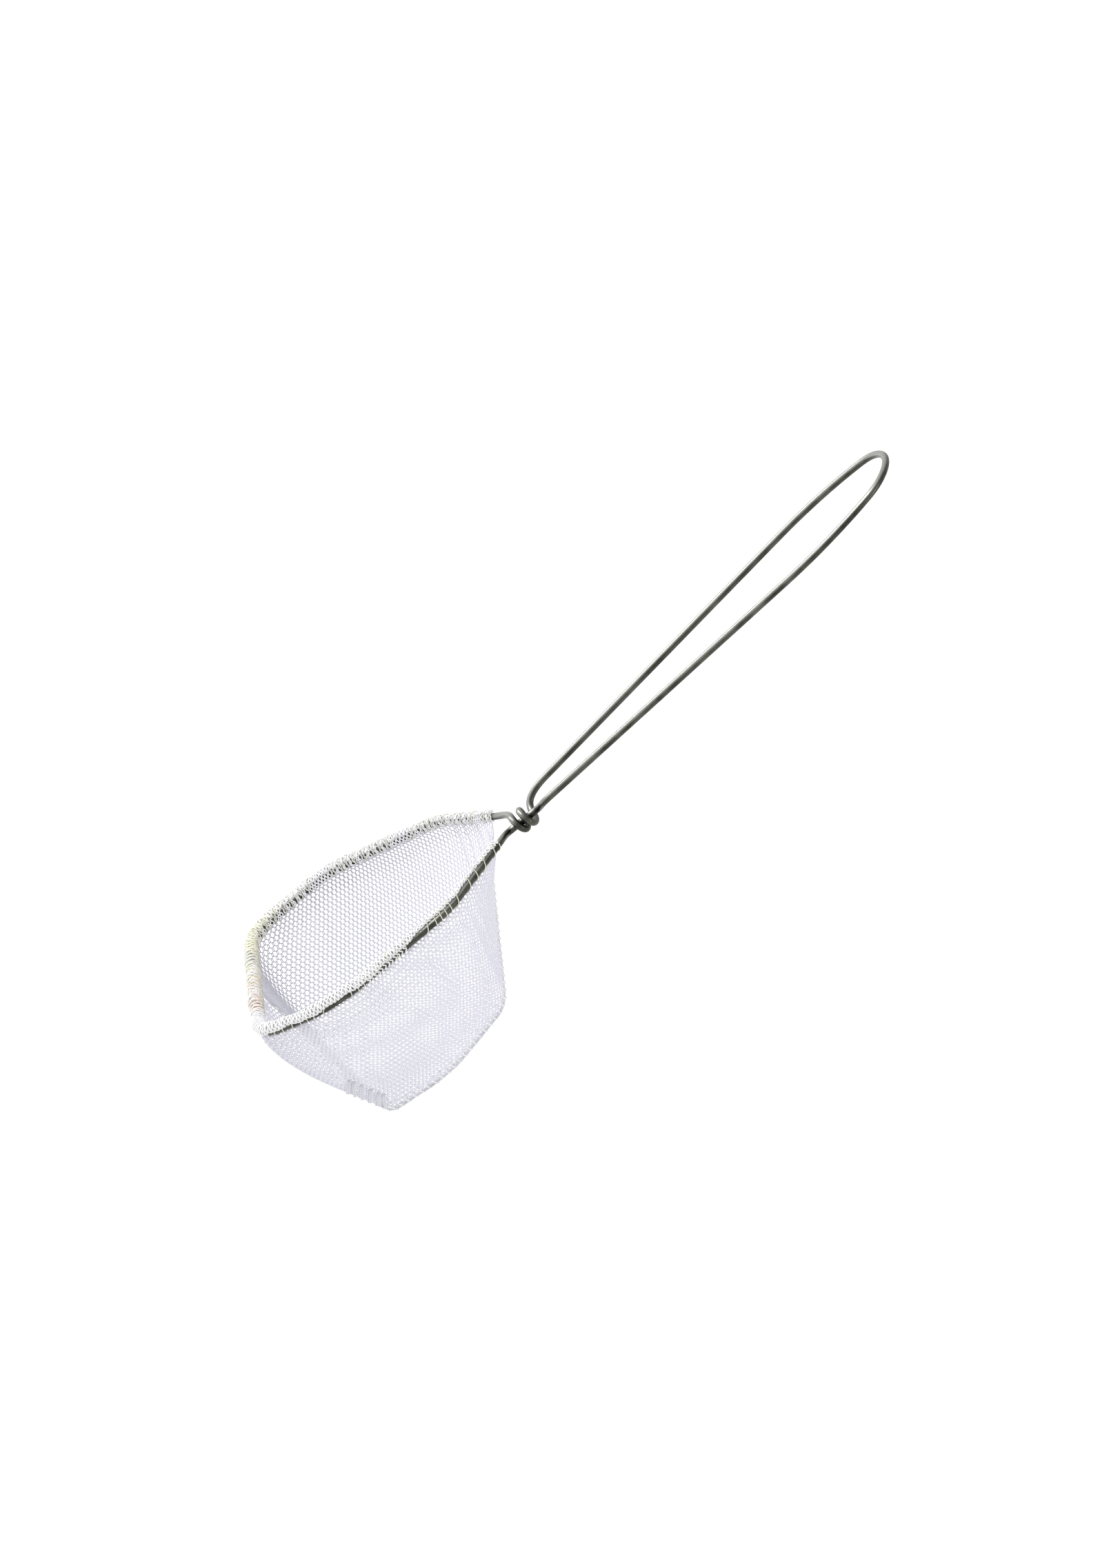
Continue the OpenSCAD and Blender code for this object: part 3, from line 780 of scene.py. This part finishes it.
# Handling has left a cream to peach stain in patches round the far end
stain_cream, stain_peach = (0.9, 0.88, 0.66, 1), (0.96, 0.81, 0.7, 1)
stain_from, stain_full = -0.151, -0.16
corner_clean, corner_stained = -0.025, -0.017
blotch_scale, blotch_range = 150, (-0.7, 1.9)
cream_slope, cream_middle = 40, 0.45
hem_sheen = 0.5
tree = hem_net.node_tree
place = tree.nodes.new("ShaderNodeTexCoord")
there = tree.nodes.new("ShaderNodeSeparateXYZ")
tree.links.new(place.outputs["Object"], there.inputs[0])
far_off = tree.nodes.new("ShaderNodeMapRange")
far_off.inputs["From Min"].default_value = stain_from
far_off.inputs["From Max"].default_value = stain_full
tree.links.new(there.outputs[0], far_off.inputs["Value"])
clean_corner = tree.nodes.new("ShaderNodeMapRange")
clean_corner.inputs["From Min"].default_value = corner_clean
clean_corner.inputs["From Max"].default_value = corner_stained
tree.links.new(there.outputs[1], clean_corner.inputs["Value"])
handled = maths(
    tree, "MULTIPLY", maths(tree, "MULTIPLY", far_off.outputs[0], clean_corner.outputs[0]),
    between(tree, noise(tree, place.outputs["Object"], blotch_scale, 3), *blotch_range))
stain = tree.nodes.new("ShaderNodeValToRGB")
stain.color_ramp.elements[0].color = stain_peach
stain.color_ramp.elements[1].color = stain_cream
cream = maths(tree, "MULTIPLY_ADD", there.outputs[1], cream_slope, cream_middle)
tree.links.new(between(tree, cream, 0, 1), stain.inputs["Fac"])
dyed = tree.nodes.new("ShaderNodeMix")
dyed.data_type = "RGBA"
tree.links.new(handled, dyed.inputs["Factor"])
tree.links.new(hem_colour, dyed.inputs[6])
tree.links.new(stain.outputs["Color"], dyed.inputs[7])
tree.links.new(dyed.outputs[2], tree.nodes["Principled BSDF"].inputs["Base Color"])
tree.nodes["Principled BSDF"].inputs["Sheen Weight"].default_value = hem_sheen
hem.data.materials.append(hem_net)
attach(hem, "root")
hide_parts("rim_hem")

# Whip stitch: one length of cotton, wound by hand over hem and wire from the near neck to the far
# one. It dips to the net below the wire, and sinks into the hem where that is thick.
whip_d = 0.34
whip_low, whip_proud, whip_sink, whip_slack = 2.0, 0.3, 0.9, 0.05
whip_place = np.linspace(0.4, rim_total - 0.4, int(rim_total / whip_pitch * 24))
whip_angle = (whip_turns(whip_place) * 360) % 360
whip_radius = np.zeros(len(whip_place))
for i, (place, angle) in enumerate(zip(whip_place, whip_angle)):
    last = fold_end(place)
    sunk = np.interp(place / rim_long[-1], (0.4, 0.5, 0.8, 0.9), (0, 1, 1, 0))
    over = hem_layers(place, min(angle, last))[1] + whip_proud - whip_sink * sunk
    bare = wire_d / 2 + whip_d / 2 + whip_slack
    whip_radius[i] = np.interp(
        angle, (0, 45, fold_start(place), last, last + 22, 320, 360),
        (whip_low, whip_low, over, over, bare, bare, whip_low))
whip = round_runs("hem_whip_stitch", [round_rim(whip_place, whip_angle, whip_radius)], whip_d, 1)
whip_cotton, _ = thread_material("whip_cotton", 1.1, 3, (0.86, 0.855, 0.74), (0.68, 0.67, 0.53))
whip.data.materials.append(whip_cotton)
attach(whip, "root")

# Bag seam: the two halves' edges lie together along the bag's middle, and overlock stitches go
# over both of them, from the throat round the heel and the tip to the far end of the hoop.
edge_d = 0.8
stitch_d = 0.55
stitch_pitch = 2.8
stitch_depth, tip_depth = 2.2, 5.6
stitch_lift, stitch_below = (-0.1, 0.42, 0.42), 0.55
edge_apart, edge_sway, edge_in = 0.38, 0.12, 0.1
seam_normal = np.stack([seam_ahead[:, 2], 0 * seam_ahead[:, 1], -seam_ahead[:, 0]], axis=-1)
seam_normal *= np.sign((seam_normal * (seam_run - bag_middle)).sum(-1, keepdims=True))
edge_wave = np.sin(seam_long / 1.9)[:, None] * edge_sway * side
edges = [seam_run + hand * (edge_apart * side + edge_wave) - edge_in * seam_normal
         for hand in (1, -1)]
stitch = []
for place in np.arange(seam_marks[0] + 1.5, seam_marks[-1], stitch_pitch):
    column = np.interp(place, seam_marks, part_marks)
    spread = [column - 0.004, column + 0.004]
    ends = cloth(np.array([column, column]), np.array([0.0, 1.0]))
    long = np.linalg.norm(ends[1] - ends[0])
    deep = np.interp(
        place - seam_marks[2], (-6, 0, 16, 24), (stitch_depth, tip_depth, tip_depth, stitch_depth))
    depth = min(deep, 0.4 * long) * (1 + 0.12 * math.sin(place * 2.7))
    drops = 1 - np.array([depth, depth * 0.7, depth * 0.35]) / long
    on_cloth = cloth(np.full(3, column), drops)
    ahead = cloth(np.full(3, spread[1]), drops) - cloth(np.full(3, spread[0]), drops)
    outward = np.cross(ahead, on_cloth - ends[1])
    outward /= np.linalg.norm(outward, axis=1, keepdims=True)
    outward *= -np.sign(outward[:, 1:2])
    near_side = on_cloth + np.array(stitch_lift)[:, None] * outward
    bottom = at_length(seam_run + stitch_below * seam_normal, place)
    far_side = (near_side * [1, -1, 1])[::-1]
    inside = on_cloth[0] * [1, 0, 1]
    stitch += [*near_side, bottom, *far_side, inside]
stitch = np.array(stitch)
# The left half's lower corner is drawn in toward the tip by upright bars of two stitches
bar_columns = np.linspace(0.71, 0.652, 9)
bar_count, bar_first, bar_pitch, bar_tall = 6, 0.985, 0.048, 0.135
bar_lift, bar_apart = 0.35, 0.6
bars = []
for k in range(bar_count):
    foot = bar_first - bar_pitch * k
    drops = np.linspace(foot, foot - bar_tall * (1 + 0.12 * math.sin(5 * k)), len(bar_columns))
    ahead = cloth(bar_columns + 0.004, drops) - cloth(bar_columns - 0.004, drops)
    outward = np.cross(ahead, cloth(bar_columns, drops + 0.005) - cloth(bar_columns, drops - 0.005))
    outward /= -np.sign(outward[:, 1:2]) * np.linalg.norm(outward, axis=1, keepdims=True)
    bar = cloth(bar_columns, drops) + bar_lift * outward
    bars += [bar + [shift * bar_apart / 2, 0, 0] for shift in (-1, 1)]
seam = round_runs("seam_edges", edges + bars, edge_d, 1)
overlock = round_runs("seam_overlock", [stitch], stitch_d, 1)
# The halves' edges and the corner bars are coloured darker than the net: painted shade along the seam
# and on the bars
seam_nylon_painted_shade, _ = thread_material("seam_nylon_painted_shade", 1.2, 3, (0.8, 0.8, 0.85), (0.6, 0.6, 0.66))
overlock_cotton, _ = thread_material("overlock_cotton", 1.0, 3, (0.97, 0.97, 0.965), (0.9, 0.9, 0.89))
for piece, thread in ((seam, seam_nylon_painted_shade), (overlock, overlock_cotton)):
    piece.data.materials.append(thread)
    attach(piece, "root")
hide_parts("bag_seam")
